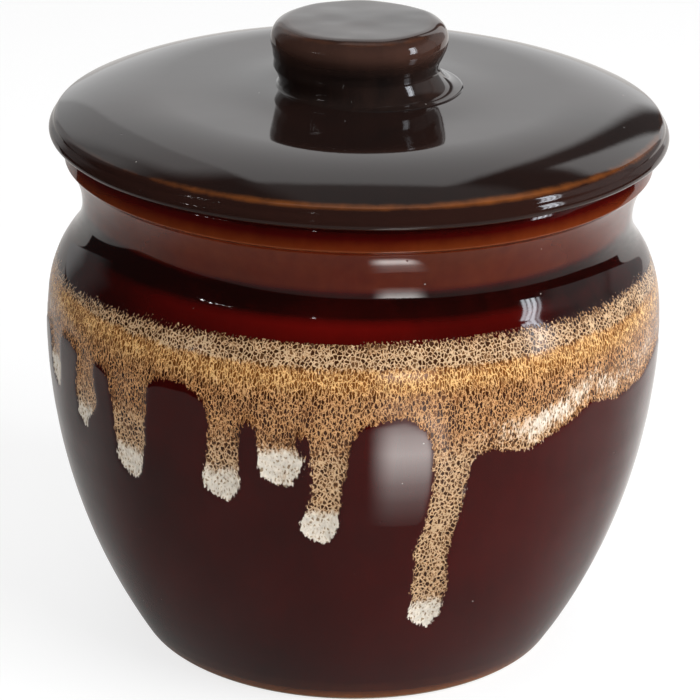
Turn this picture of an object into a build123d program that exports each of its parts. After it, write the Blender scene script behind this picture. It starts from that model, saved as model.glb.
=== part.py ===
"""A glazed stoneware jar with a loose domed lid.

The jar and the lid are turned on a wheel, so each is a profile revolved round the Z axis. The knob is
formed by itself and seated on the lid's crown. Lengths are in millimetres, angles in degrees, +Z is up,
and the origin is the centre of the plane that the foot rests on.
"""
from build123d import *
import math
import os

# Jar, outside. The belly is its widest level and the neck its narrowest
jar_height = 120.0
foot_radius = 48.8
belly_radius = 71.0
neck_inset = 8.3
neck_below_top = 16.0
belly_below_neck = 25.0
shoulder_arc_share = 0.6
lower_wall_share = 0.45

# Jar, rim. A thick band whose lower edge stands a little proud of the neck's cove
rim_overhang = 4.0
rim_band_height = 6.1
rim_lean = 0.9
rim_edge_reach = 0.7
rim_edge_rise = 0.5
rim_edge_fillet = 0.4
rim_outer_fillet = 2.4
rim_inner_fillet = 1.6

# Jar, foot and inside
wall = 5.0
floor_thickness = 6.0
foot_recess_depth = 2.0
foot_ring_width = 8.0
heel_fillet = 2.5
foot_recess_fillet = 1.0
floor_flat_share = 0.7
floor_corner_share = 0.5
cavity_rise_share = 0.56

# Lid, disc. Its top is level round the knob and curves down to a rounded edge
lid_overhang = 3.3
lid_edge_radius = 3.9
lid_lower_edge_radius = 1.2
lid_edge_slope = 26.0
crown_height = 10.0
crown_thickness = 6.2
ceiling_turn_width = 7.0

# Lid, locating ring that drops into the mouth
ring_clearance = 1.2
ring_width = 4.6
ring_depth = 8.0
ring_edge_fillet = 1.2

# Knob. It spreads at its foot into a thin skirt on the lid
knob_height = 15.2
knob_base_radius = 22.4
knob_base_edge = 0.6
knob_neck_radius = 18.6
knob_neck_height = 4.9
knob_cap_radius = 19.9
knob_top_edge_radius = 4.0
knob_top_crown = 0.2

# Levels and radii that follow
neck_radius = belly_radius - neck_inset
neck_height = jar_height - neck_below_top
belly_height = neck_height - belly_below_neck
rim_radius = neck_radius + rim_overhang
rim_foot_height = jar_height - rim_band_height
mouth_radius = neck_radius - wall
floor_height = foot_recess_depth + floor_thickness
lid_radius = rim_radius + lid_overhang

# Where the lid rests, where the knob sits on it, and where the knob is widest
seat_height = jar_height
knob_seat_height = seat_height + crown_height
knob_top_height = knob_seat_height + knob_height
cap_height = knob_top_height - knob_top_crown - knob_top_edge_radius

# The wall sweeps from the belly in to the neck by two arcs that meet at one slope
shoulder_turn = 2 * math.degrees(math.atan2(neck_inset, belly_below_neck))
both_radii = belly_below_neck / math.sin(math.radians(shoulder_turn))
shoulder_radius = shoulder_arc_share * both_radii
cove_radius = both_radii - shoulder_radius
shoulder_centre = (belly_radius - shoulder_radius, belly_height)
cove_centre = (neck_radius + cove_radius, neck_height)
facing_axis = 180.0

with BuildPart() as jar_body:
    with BuildSketch(Plane.XZ):
        with BuildLine():
            foot = Line((0, 0), (foot_radius, 0))
            lower_wall = Bezier(
                foot @ 1,
                (belly_radius, lower_wall_share * belly_height),
                (belly_radius, belly_height),
            )
            shoulder = CenterArc(shoulder_centre, shoulder_radius, 0, shoulder_turn)
            lower_cove = CenterArc(
                cove_centre,
                cove_radius,
                facing_axis + shoulder_turn,
                -shoulder_turn,
            )
            upper_cove = TangentArc(
                lower_cove @ 1,
                (rim_radius - rim_edge_reach, rim_foot_height),
                tangent=(0, 1),
            )
            rim = Polyline(
                upper_cove @ 1,
                (rim_radius, rim_foot_height + rim_edge_rise),
                (rim_radius - rim_lean, jar_height),
                (0, jar_height),
                (0, 0),
            )
        make_face()
    revolve(axis=Axis.Z)

    with BuildSketch(Plane.XZ):
        with BuildLine():
            floor = Line((0, floor_height), (floor_flat_share * foot_radius, floor_height))
            corner_radius = foot_radius + floor_corner_share * (belly_radius - wall - foot_radius)
            rise = cavity_rise_share * (belly_height - floor_height)
            inner_wall = Bezier(
                floor @ 1,
                (corner_radius, floor_height),
                (belly_radius - wall, floor_height + rise),
                (belly_radius - wall, belly_height),
            )
            inner_shoulder = CenterArc(shoulder_centre, shoulder_radius - wall, 0, shoulder_turn)
            inner_cove = CenterArc(
                cove_centre,
                cove_radius + wall,
                facing_axis + shoulder_turn,
                -shoulder_turn,
            )
            mouth = Polyline(
                inner_cove @ 1,
                (mouth_radius, jar_height),
                (0, jar_height),
                (0, floor_height),
            )
        make_face()
    revolve(axis=Axis.Z, mode=Mode.SUBTRACT)

    with BuildSketch():
        Circle(foot_radius - foot_ring_width)
    extrude(amount=foot_recess_depth, mode=Mode.SUBTRACT)

    foot_edges = jar_body.edges().group_by(Axis.Z)[0].sort_by(SortBy.RADIUS)
    fillet(foot_edges[-1], heel_fillet)
    fillet(foot_edges[0], foot_recess_fillet)
    rim_edges = jar_body.edges().group_by(Axis.Z)[-1].sort_by(SortBy.RADIUS)
    fillet(rim_edges[-1], rim_outer_fillet)
    fillet(rim_edges[0], rim_inner_fillet)
    band_edges = jar_body.edges().filter_by_position(
        Axis.Z,
        rim_foot_height + rim_edge_rise / 2,
        rim_foot_height + rim_edge_rise * 3 / 2,
    )
    fillet(band_edges.filter_by(GeomType.CIRCLE), rim_edge_fillet)
jar_body.part.label = "jar_body"

# The dome's arc leaves the rounded edge at its slope and meets the crown where it is level
edge_end_angle = 90.0 - lid_edge_slope
edge_centre = (lid_radius - lid_edge_radius, seat_height + lid_lower_edge_radius)
slope = math.radians(lid_edge_slope)
dome_foot_radius = edge_centre[0] + lid_edge_radius * math.sin(slope)
dome_drop = crown_height - lid_lower_edge_radius - lid_edge_radius * math.cos(slope)
dome_radius = dome_drop / (1 - math.cos(slope))
dome_centre = (dome_foot_radius - dome_radius * math.sin(slope), knob_seat_height - dome_radius)
ring_radius = mouth_radius - ring_clearance
ring_bore_radius = ring_radius - ring_width
ceiling_height = knob_seat_height - crown_thickness

with BuildPart() as lid:
    with BuildSketch(Plane.XZ):
        with BuildLine():
            crown = Line((0, knob_seat_height), (dome_centre[0], knob_seat_height))
            edge = CenterArc(edge_centre, lid_edge_radius, 0, edge_end_angle)
            dome = CenterArc(dome_centre, dome_radius, edge_end_angle, lid_edge_slope)
            lower_edge = CenterArc(
                (lid_radius - lid_lower_edge_radius, edge_centre[1]),
                lid_lower_edge_radius,
                0,
                -90.0,
            )
            underside = Polyline(
                lower_edge @ 1,
                (ring_radius, seat_height),
                (ring_radius, seat_height - ring_depth),
                (ring_bore_radius, seat_height - ring_depth),
                (ring_bore_radius, seat_height),
            )
            ceiling = Bezier(
                underside @ 1,
                (ring_bore_radius - ceiling_turn_width, ceiling_height),
                (0, ceiling_height),
            )
            Line(ceiling @ 1, crown @ 0)
        make_face()
    revolve(axis=Axis.Z)
    fillet(lid.edges().group_by(Axis.Z)[0], ring_edge_fillet)
lid.part.label = "lid"

with BuildPart() as lid_knob:
    with BuildSketch(Plane.XZ):
        with BuildLine():
            base = Polyline(
                (0, knob_seat_height),
                (knob_base_radius, knob_seat_height),
                (knob_base_radius, knob_seat_height + knob_base_edge),
            )
            waist = Spline(
                base @ 1,
                (knob_neck_radius, knob_seat_height + knob_neck_height),
                (knob_cap_radius, cap_height),
                tangents=((-1, 0), (0, 1)),
            )
            cap_edge = CenterArc(
                (knob_cap_radius - knob_top_edge_radius, cap_height),
                knob_top_edge_radius,
                0,
                90,
            )
            top = Bezier(
                cap_edge @ 1,
                ((cap_edge @ 1).X / 2, knob_top_height),
                (0, knob_top_height),
            )
            Line(top @ 1, base @ 0)
        make_face()
    revolve(axis=Axis.Z)
lid_knob.part.label = "lid_knob"

os.makedirs("parts", exist_ok=True)
export_step(jar_body.part, "parts/jar_body.step")
export_step(lid.part, "parts/lid.step")
export_step(lid_knob.part, "parts/lid_knob.step")
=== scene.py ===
"""Dresses the lidded stoneware jar: thrown walls, dark glaze, and a pale frothed glaze down the belly.

Three turned pieces stand for the three solids of the frame. Each is a profile swept round the Z axis by one
Geometry Nodes tree, and the pale glaze is laid on the jar as a distance from the outline of its runs, which
then both moves the surface and colours it. Lengths are in metres, angles in degrees, and +Z is up.
"""

import math

import bpy
import numpy as np
from bpy.props import FloatProperty, FloatVectorProperty, IntProperty, PointerProperty
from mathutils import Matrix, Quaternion, Vector


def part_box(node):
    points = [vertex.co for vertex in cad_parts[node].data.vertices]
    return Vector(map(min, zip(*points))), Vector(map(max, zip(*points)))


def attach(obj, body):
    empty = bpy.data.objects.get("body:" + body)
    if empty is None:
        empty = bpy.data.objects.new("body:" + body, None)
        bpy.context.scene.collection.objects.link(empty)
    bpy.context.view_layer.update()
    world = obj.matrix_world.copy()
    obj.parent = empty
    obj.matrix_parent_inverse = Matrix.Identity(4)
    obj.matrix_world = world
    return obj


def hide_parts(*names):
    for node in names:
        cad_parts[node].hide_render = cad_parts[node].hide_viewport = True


bl_info = {
    "name": "Drip glazed jar",
    "version": (1, 0, 0),
    "blender": (4, 5, 0),
    "location": "3D View > Sidebar > Jar",
    "description": "Builds a lidded stoneware jar with a pale glaze running over a dark one",
    "category": "Add Mesh",
}

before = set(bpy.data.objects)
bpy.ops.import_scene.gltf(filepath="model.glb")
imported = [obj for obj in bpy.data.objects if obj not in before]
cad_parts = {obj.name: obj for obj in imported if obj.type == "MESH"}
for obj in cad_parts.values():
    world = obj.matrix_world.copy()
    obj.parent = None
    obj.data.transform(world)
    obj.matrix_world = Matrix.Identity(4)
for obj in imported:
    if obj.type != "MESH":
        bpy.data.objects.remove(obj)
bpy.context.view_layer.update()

MM = 0.001
jar_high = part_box("jar_body")[1]
lid_low, lid_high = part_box("lid")
knob_low, knob_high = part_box("lid_knob")


# Sizes and colours that a user would change


def length(name, description, default):
    """A size in metres, shown in the scene's own unit."""
    return FloatProperty(name=name, description=description, default=default, unit="LENGTH", precision=5)


def number(name, description, default):
    """A plain number."""
    return FloatProperty(name=name, description=description, default=default)


def columns(description, default):
    """How many points a piece has round it."""
    return IntProperty(name="Columns", description=description, default=default, min=32)


def colour(name, description, default):
    """A colour in linear light."""
    return FloatVectorProperty(
        name=name, description=description, default=default, size=3, subtype="COLOR", min=0.0, max=1.0
    )


class JarSizes(bpy.types.PropertyGroup):
    """The jar's profile, with its height and widest radius read from the frame."""

    height: length("Height", "From the foot to the top of the rim", jar_high.z)
    belly_radius: length("Belly radius", "Widest radius of the wall", jar_high.x)
    foot_radius: length("Foot radius", "Outer radius of the foot", 48.8 * MM)
    neck_inset: length("Neck inset", "How far the neck is drawn in from the belly", 8.3 * MM)
    neck_below_top: length("Neck below top", "From the rim's top down to the neck", 17.0 * MM)
    belly_below_neck: length("Belly below neck", "From the neck down to the belly", 24.0 * MM)
    shoulder_share: number(
        "Shoulder share", "Share of the curve from belly to neck that bulges outwards", 0.67
    )
    rim_overhang: length("Rim overhang", "How far the rim stands out from the neck", 4.0 * MM)
    rim_band_height: length("Rim band height", "Height of the thick band at the rim", 6.1 * MM)
    rim_fillet: length("Rim fillet", "Roundness of the rim's upper edge", 2.4 * MM)
    wall: length("Wall", "Thickness of the wall", 5.0 * MM)
    floor_thickness: length("Floor thickness", "Thickness of the floor", 6.0 * MM)
    foot_recess_depth: length("Foot recess", "Depth of the recess inside the foot ring", 2.0 * MM)
    foot_ring_width: length("Foot ring width", "Width of the ring that the jar stands on", 8.0 * MM)
    row_spacing: length("Row spacing", "Height between the rows that carry the pale glaze", 0.9 * MM)
    columns: columns("Points round the jar", 500)


class LidSizes(bpy.types.PropertyGroup):
    """The lid's profile, with its radius read from the frame."""

    radius: length("Radius", "Widest radius of the lid", lid_high.x)
    edge_radius: length("Edge radius", "Roundness of the upper edge, where the dome turns down", 2.3 * MM)
    edge_drop: length("Edge drop", "How far below the crown the edge is widest", 8.8 * MM)
    lower_edge_radius: length("Lower edge radius", "Roundness of the lower edge", 1.2 * MM)
    dome_foot_radius: length("Dome foot radius", "Radius where the dome meets the edge", 67.8 * MM)
    dome_drop: length("Dome drop", "How far the dome has come down there", 5.3 * MM)
    edge_slope: number("Edge slope", "Slope of the dome where it meets the edge, in degrees", 26.0)
    side_slope: number("Side slope", "How far short of upright the edge's turn ends, in degrees", 12.0)
    skirt_rise: length("Skirt rise", "How far the glaze rises round the knob", 0.55 * MM)
    skirt_radius: length("Skirt radius", "Radius out to which that rise is full", 20.0 * MM)
    skirt_spread: length("Skirt spread", "How far that rise spreads over the crown", 8.0 * MM)
    ring_radius: length("Ring radius", "Outer radius of the ring that drops into the mouth", 56.5 * MM)
    ring_width: length("Ring width", "Thickness of that ring", 4.6 * MM)
    ring_fillet: length("Ring fillet", "Roundness of that ring's lower edges", 1.2 * MM)
    crown_thickness: length("Crown thickness", "Thickness of the lid under the knob", 6.2 * MM)
    ceiling_turn: length("Ceiling turn", "Width over which the hollow's side turns into its ceiling", 7.0 * MM)
    columns: columns("Points round the lid", 400)


class KnobSizes(bpy.types.PropertyGroup):
    """The knob's profile, with its base radius read from the frame."""

    base_radius: length("Base radius", "Radius where the knob spreads onto the lid", knob_high.x - 1.0 * MM)
    neck_radius: length("Neck radius", "Radius of the waist", 18.6 * MM)
    neck_height: length("Neck height", "Height of the waist above the lid", 4.9 * MM)
    skirt_rise: length("Skirt rise", "Height at which the knob's foot meets the glaze of the lid", 0.5 * MM)
    cap_radius: length("Cap radius", "Widest radius of the cap", 19.9 * MM)
    top_edge_radius: length("Top edge radius", "Roundness of the cap's upper edge", 4.0 * MM)
    top_crown: length("Top crown", "Rise of the cap's top", 0.2 * MM)
    columns: columns("Points round the knob", 220)


class GlazeColours(bpy.types.PropertyGroup):
    """The fired colours."""

    # On the jar the deep colour also fills the painted shade under the neck and at the rim's top
    deep: colour("Deep glaze", "Dark glaze where it lies thick", (0.009, 0.0008, 0.0005))
    red: colour("Red glaze", "Dark glaze of middling thickness", (0.100, 0.0022, 0.0012))
    amber: colour("Amber glaze", "Dark glaze where it is thin over the clay", (0.30, 0.088, 0.017))
    black: colour("Black glaze", "Dark glaze on the lid and knob", (0.008, 0.0060, 0.0056))
    brown: colour("Brown glaze", "The same glaze on the lid's edge", (0.050, 0.012, 0.006))
    umber: colour("Umber glaze", "The same glaze on the knob's cap", (0.060, 0.028, 0.020))
    cream: colour("Cream", "Froth of the pale glaze", (0.66, 0.46, 0.275))
    gold: colour("Gold", "Pale glaze where it breaks over the shoulder", (0.90, 0.56, 0.23))
    tan: colour("Tan", "Pale glaze below the shoulder", (0.66, 0.362, 0.155))
    white: colour("White", "Pale glaze where it gathers at the end of a run", (0.84, 0.76, 0.65))
    clay: colour("Clay", "Bare fired stoneware", (0.52, 0.40, 0.28))


class StageSizes(bpy.types.PropertyGroup):
    """The camera."""

    camera_distance: length("Camera distance", "From the camera to the point it looks at", 700.0 * MM)
    aim_height: length("Aim height", "Height of that point", 65.9 * MM)
    aim_side: length("Aim to the side", "How far that point lies from the jar's axis", -0.6 * MM)
    pitch: number("Pitch", "Degrees that the camera looks down", 21.86)
    roll: number("Roll", "Degrees that the camera is turned", 1.15)
    pixels_per_mm: number("Scale", "Pixels for a millimetre at that point", 4.285)
    image_width: number("Image width", "Width of the picture in pixels", 700.0)
    sensor: number("Sensor", "Width of the sensor in millimetres", 36.0)


# Profiles. Points are (radius, height) and run from the axis out, along the outside, and back to the axis. The
# jar's and the knob's start at the bottom, which turns the swept faces inwards, and the lid's starts at the top


def arc(centre, radius, start, sweep, count):
    """Points along an arc, with angles in degrees from the outward direction."""
    angles = np.radians(np.linspace(start, start + sweep, count))
    return np.c_[centre[0] + radius * np.cos(angles), centre[1] + radius * np.sin(angles)]


def bezier(controls, count, start=0.0):
    """Points along a Bezier curve of any degree."""
    share = np.linspace(start, 1.0, count)[:, None]
    rows = [np.repeat(np.array([point], float), count, axis=0) for point in controls]
    while len(rows) > 1:
        rows = [a + share * (b - a) for a, b in zip(rows, rows[1:])]
    return rows[0]


def rounded(corners, radii, count=6):
    """A run of straight lines whose inner corners are arcs, with one radius for each inner corner."""
    corners = [np.array(corner, float) for corner in corners]
    points = [corners[0][None]]
    for before, corner, after, radius in zip(corners, corners[1:], corners[2:], radii):
        if radius == 0:
            points.append(corner[None])
            continue
        into, out = corner - before, after - corner
        into, out = into / np.linalg.norm(into), out / np.linalg.norm(out)
        cross = into[0] * out[1] - into[1] * out[0]
        turn = math.atan2(cross, into @ out)
        first = corner - radius * math.tan(abs(turn) / 2) * into
        centre = first + math.copysign(radius, cross) * np.array([-into[1], into[0]])
        start = math.degrees(math.atan2(first[1] - centre[1], first[0] - centre[0]))
        points.append(arc(centre, radius, start, math.degrees(turn), count))
    return np.vstack([*points, corners[-1][None]])


def spaced(points, spacing):
    """The same run of points, evenly spaced about this far apart."""
    points = np.asarray(points, float)
    along = np.concatenate([[0.0], np.cumsum(np.hypot(*np.diff(points, axis=0).T))])
    count = max(2, round(along[-1] / spacing) + 1)
    place = np.linspace(0.0, along[-1], count)
    return np.c_[np.interp(place, along, points[:, 0]), np.interp(place, along, points[:, 1])]


def hump(value, centre, width):
    """A smooth hump, 1 at its centre and about nothing two widths away."""
    return np.exp(-(((value - centre) / width) ** 2))


def climb(value, low, high):
    """The share of the way from low to high, held at the ends."""
    return np.clip((value - low) / (high - low), 0.0, 1.0)


class Profile:
    """A run of points with marks on each: glaze thin, clay bare, shape true to the frame, glaze fired red, which
    on the jar also carries painted shade under the neck and at the rim's top.
    """

    MARKS = ("thin", "bare", "true", "red")

    def __init__(self):
        self.points = []
        self.marks = {mark: [] for mark in self.MARKS}

    def add(self, points, **given):
        """Adds points with their marks, and joins them to the last point if they start on it."""
        points = np.asarray(points, float)
        skip = int(bool(self.points) and np.allclose(self.points[-1][-1], points[0], atol=1e-7))
        for mark, values in self.marks.items():
            values.append(np.broadcast_to(given.get(mark, 0.0), len(points)).astype(float)[skip:])
        self.points.append(points[skip:])

    def mesh(self, name, axis_radius):
        """A mesh of edges only. A sweep turns its X into radius and its -Y into height."""
        verts = [(r - axis_radius, -z, 0.0) for r, z in np.vstack(self.points)]
        mesh = bpy.data.meshes.new(name)
        mesh.from_pydata(verts, [(i, i + 1) for i in range(len(verts) - 1)], [])
        for mark, values in self.marks.items():
            store(mesh, mark, np.concatenate(values))
        return mesh


# How red the jar's glaze has fired at each height, as (height in mm, share). The near-black from about 98 to 104
# mm, just under the neck, is painted shade from the lid and rim, and the fall towards the rim's top is painted
# shade under the lid's edge
JAR_RED_AND_SHADE = (
    (0, 0.30), (30, 0.36), (70, 0.36), (84, 0.40), (92, 0.25), (94.6, 0.62), (96.4, 0.85), (97.5, 0.60),
    (98.4, 0.0), (103.0, -0.05), (104.4, 0.50), (112, 0.65), (114, 0.75), (116.5, 0.75), (118.4, 0.35),
    (120, 0.2),
)

# How much of that redness there is above the shoulder and below it, as (azimuth, above, below)
RED_ROUND = (
    (-180, 0.7, 0.8), (-110, 0.3, 0.6), (-70, 0.15, 0.55), (-50, 0.35, 0.60), (-36, 0.80, 0.70),
    (-15, 1.0, 0.85),
    (4, 1.0, 0.95), (16, 0.55, 1.0), (34, 0.60, 1.1), (42, 0.12, 1.1), (80, 0.10, 0.9), (120, 0.6, 0.8),
)
RED_ROUND_FROM = 90 * MM
RED_ROUND_FULL = 94 * MM
NECK_STARTS = 103.2 * MM
INSIDE_RED = 0.5

# The jar's outline where nobody would change it: its foot, the band's edges and the curves of its walls
FOOT_FILLETS = (1.0 * MM, 2.5 * MM)
RIM_EDGE_REACH = 0.7 * MM
RIM_EDGE_RISE = 0.5 * MM
RIM_LEAN = 0.9 * MM
RIM_EDGE_FILLET = 0.4 * MM
RIM_INNER_FILLET = 1.6 * MM
LOWER_WALL_SHARE = 0.45
WALL_START_SHARE = 0.05
DENSE_FROM = 22 * MM
CAVITY_RISE_SHARE = 0.56
FLOOR_FLAT_SHARE = 0.7
FLOOR_CORNER_SHARE = 0.5


def jar_red_and_shade(points):
    """How red the glaze is at each of these points, with painted shade under the neck and at the rim's top."""
    return np.interp(points[:, 1] / MM, *zip(*JAR_RED_AND_SHADE))


def jar_profile(size):
    """The jar from the middle of its recess, up the outside, over the rim and down to its floor."""
    neck_radius = size.belly_radius - size.neck_inset
    neck_height = size.height - size.neck_below_top
    belly_height = neck_height - size.belly_below_neck
    rim_radius = neck_radius + size.rim_overhang
    rim_foot = size.height - size.rim_band_height
    mouth_radius = neck_radius - size.wall
    recess = size.foot_recess_depth
    floor_height = recess + size.floor_thickness
    ring_inner = size.foot_radius - size.foot_ring_width

    # The wall sweeps from the belly in to the neck by two arcs that meet at one slope
    shoulder_turn = 2 * math.degrees(math.atan2(size.neck_inset, size.belly_below_neck))
    both_radii = size.belly_below_neck / math.sin(math.radians(shoulder_turn))
    shoulder_radius = size.shoulder_share * both_radii
    cove_radius = both_radii - shoulder_radius
    shoulder_centre = (size.belly_radius - shoulder_radius, belly_height)
    cove_centre = (neck_radius + cove_radius, neck_height)

    widest = (size.belly_radius, belly_height)
    lower_wall = ((size.foot_radius, 0.0), (size.belly_radius, LOWER_WALL_SHARE * belly_height), widest)
    wall = bezier(lower_wall, 120, WALL_START_SHARE)
    low = wall[wall[:, 1] <= DENSE_FROM]
    high = wall[wall[:, 1] >= low[-1][1]]
    shoulder = arc(shoulder_centre, shoulder_radius, 0, shoulder_turn, 40)
    dense = spaced(np.vstack([high, shoulder]), size.row_spacing)
    lower_cove = arc(cove_centre, cove_radius, 180 + shoulder_turn, -shoulder_turn, 12)
    cove_reach = rim_radius - RIM_EDGE_REACH - neck_radius
    cove_rise = rim_foot - neck_height
    upper_radius = (cove_reach**2 + cove_rise**2) / (2 * cove_reach)
    upper_sweep = math.degrees(math.asin(cove_rise / upper_radius))
    upper_cove = arc((neck_radius + upper_radius, neck_height), upper_radius, 180, -upper_sweep, 10)

    profile = Profile()
    ring = [(ring_inner, recess), (ring_inner, 0), (size.foot_radius, 0)]
    foot = rounded([(0, recess), *ring, wall[0]], [0, *FOOT_FILLETS])
    on_heel = hump(foot[:, 0], size.foot_radius, 1.5 * MM)
    foot_bare = (foot[:, 1] < 1.2 * MM) | (foot[:, 0] < ring_inner + MM)
    profile.add(foot, thin=on_heel, bare=foot_bare, true=1.0, red=0.4)
    low = spaced(low, 2.4 * MM)
    near_foot = hump(low[:, 1], 0.0, 4 * MM)
    profile.add(low, thin=0.9 * near_foot, true=near_foot, red=jar_red_and_shade(low))
    profile.add(dense, red=jar_red_and_shade(dense))

    # The glaze is thin in the neck and breaks on the rim's lower edge
    neck = spaced(np.vstack([lower_cove, upper_cove[1:]]), 0.8 * MM)
    in_neck = climb(neck[:, 1], NECK_STARTS, NECK_STARTS + 1.5 * MM)
    up_neck = climb(neck[:, 1], 107 * MM, 113 * MM)
    profile.add(neck, thin=(0.17 + 0.05 * up_neck) * in_neck, red=jar_red_and_shade(neck))
    band = [
        upper_cove[-1],
        (rim_radius, rim_foot + RIM_EDGE_RISE),
        (rim_radius - RIM_LEAN, size.height),
        (mouth_radius, size.height),
        (mouth_radius, neck_height),
    ]
    rim = rounded(band, [RIM_EDGE_FILLET, size.rim_fillet, RIM_INNER_FILLET], 7)
    edge = hump(rim[:, 1], rim_foot + 0.2 * MM, 0.7 * MM) * (rim[:, 0] > rim_radius - MM)
    lip = hump(rim[:, 1], size.height, 1.0 * MM)
    profile.add(rim, thin=np.maximum(0.55 * edge, 0.12 * lip), true=lip, red=jar_red_and_shade(rim))

    inner_cove = arc(cove_centre, cove_radius + size.wall, 180, shoulder_turn, 8)
    inner_shoulder = arc(shoulder_centre, shoulder_radius - size.wall, shoulder_turn, -shoulder_turn, 7)
    flat_edge = FLOOR_FLAT_SHARE * size.foot_radius
    inside_radius = size.belly_radius - size.wall
    corner_radius = size.foot_radius + FLOOR_CORNER_SHARE * (inside_radius - size.foot_radius)
    cavity_turn = floor_height + CAVITY_RISE_SHARE * (belly_height - floor_height)
    top, bottom = (inside_radius, belly_height), (flat_edge, floor_height)
    inner_wall = bezier((top, (inside_radius, cavity_turn), (corner_radius, floor_height), bottom), 22)
    for part in (inner_cove, inner_shoulder, inner_wall, spaced([bottom, (0, floor_height)], 8 * MM)):
        profile.add(part, red=INSIDE_RED)
    return profile


EDGE_THIN = 0.46


def lid_profile(size):
    """The lid from the middle of its crown, out over the dome, round the edge and back under the ring."""
    seat, crown = jar_high.z, knob_low.z
    slope = math.radians(size.edge_slope)
    dome_radius = size.dome_drop / (1 - math.cos(slope))
    dome_centre = (size.dome_foot_radius - dome_radius * math.sin(slope), crown - dome_radius)
    dome = arc(dome_centre, dome_radius, 90, -size.edge_slope, 60)
    turn_centre = (
        size.dome_foot_radius - size.edge_radius * math.sin(slope),
        crown - size.dome_drop - size.edge_radius * math.cos(slope),
    )
    turn_sweep = size.edge_slope - 90 + size.side_slope
    turn = arc(turn_centre, size.edge_radius, 90 - size.edge_slope, turn_sweep, 14)
    widest = crown - size.edge_drop
    side = bezier((turn[-1], (size.radius, (turn[-1][1] + widest) / 2), (size.radius, widest)), 7)
    lower_centre = (size.radius - size.lower_edge_radius, seat + size.lower_edge_radius)
    lower = arc(lower_centre, size.lower_edge_radius, 0, -90, 7)
    bore = size.ring_radius - size.ring_width
    ring_foot = lid_low.z
    ring = [(size.ring_radius, seat), (size.ring_radius, ring_foot), (bore, ring_foot), (bore, seat)]
    under = rounded([lower[-1], *ring], [0, size.ring_fillet, size.ring_fillet], 5)
    ceiling = crown - size.crown_thickness
    hollow = bezier(((bore, seat), (bore - size.ceiling_turn, ceiling), (0, ceiling)), 24)

    profile = Profile()
    top = spaced(np.vstack([[(0, crown)], dome]), 1.0 * MM)
    skirt = hump(np.maximum(top[:, 0], size.skirt_radius), size.skirt_radius, size.skirt_spread)
    top[:, 1] += size.skirt_rise * skirt
    line_radius = size.dome_foot_radius + 0.1 * MM
    near = top[:, 0] > size.dome_foot_radius - 3 * MM
    profile.add(top, thin=EDGE_THIN * hump(top[:, 0], line_radius, 0.9 * MM) * near, true=skirt, red=0.12)
    edge = np.vstack([turn, side[1:]])
    profile.add(edge, thin=EDGE_THIN * hump(edge[:, 0], line_radius, 0.6 * MM), red=0.30)
    profile.add(lower, red=0.3)
    seat_bare = (under[:, 0] < size.radius - 3 * MM) & (under[:, 0] > size.ring_radius - 0.2 * MM)
    foot_bare = under[:, 1] < ring_foot + 1.5 * MM
    profile.add(under, bare=seat_bare | foot_bare, true=1.0, red=0.2)
    profile.add(hollow, thin=0.3 * hump(hollow[:, 0], bore, 2 * MM), red=0.3)
    return profile


def knob_profile(size):
    """The knob from the middle of its foot, up its waist and over the cap."""
    seat, top = knob_low.z, knob_high.z
    cap_height = top - size.top_crown - size.top_edge_radius
    foot_edge = (size.base_radius, seat + size.skirt_rise)
    waist = (size.neck_radius, seat + size.neck_height)
    into_waist = ((size.neck_radius + 0.8 * MM, foot_edge[1] + 0.3 * MM), (size.neck_radius, seat + 1.6 * MM))
    flare = bezier((foot_edge, *into_waist, waist), 14)
    pull = 0.4 * (cap_height - waist[1])
    out_of_waist = ((size.neck_radius, waist[1] + pull), (size.cap_radius, cap_height - pull))
    side = bezier((waist, *out_of_waist, (size.cap_radius, cap_height)), 16)
    cap_edge = arc((size.cap_radius - size.top_edge_radius, cap_height), size.top_edge_radius, 0, 90, 14)
    crown = bezier((cap_edge[-1], (cap_edge[-1][0] / 2, top), (0, top)), 14)

    # The cap has fired redder, and its glaze is thin on a line round its upper edge
    red_height, line_height = cap_height + MM, cap_height + 3.3 * MM
    profile = Profile()
    profile.add(spaced([(0, seat), (size.base_radius, seat)], 4 * MM), true=1.0)
    profile.add([(size.base_radius, seat), foot_edge], true=1.0)
    profile.add(flare, true=hump(flare[:, 1], seat, 2 * MM), red=0.1)
    profile.add(side, red=0.05 + 0.75 * hump(side[:, 1], red_height, 3.0 * MM))
    cap_red = 0.1 + 0.7 * hump(cap_edge[:, 1], red_height, 3.0 * MM)
    profile.add(cap_edge, thin=0.14 * hump(cap_edge[:, 1], line_height, 0.5 * MM), red=cap_red)
    profile.add(crown, red=0.2)
    return profile


# Nodes


class Signal:
    """What a node puts out. Arithmetic on it adds Math or Vector Math nodes to its tree."""

    def __init__(self, net, socket):
        self.net, self.socket = net, socket
        self.has_parts = socket.type in ("VECTOR", "RGBA")

    def join(self, operation, first, second):
        """One node for both values. A vector and a plain number are scaled."""
        if not self.has_parts:
            return self.net.maths(operation, first, second)
        if np.ndim(second) or getattr(second, "has_parts", False):
            return self.net.make("ShaderNodeVectorMath", {0: first, 1: second}, operation=operation)
        return self.net.make("ShaderNodeVectorMath", {0: first, "Scale": second}, operation="SCALE")

    def __add__(self, other):
        return self.join("ADD", self, other)

    def __sub__(self, other):
        return self.join("SUBTRACT", self, other)

    def __rsub__(self, other):
        return self.join("SUBTRACT", other, self)

    def __mul__(self, other):
        return self.join("MULTIPLY", self, other)

    def __truediv__(self, other):
        return self.join("DIVIDE", self, other)

    def __rtruediv__(self, other):
        return self.join("DIVIDE", other, self)


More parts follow.
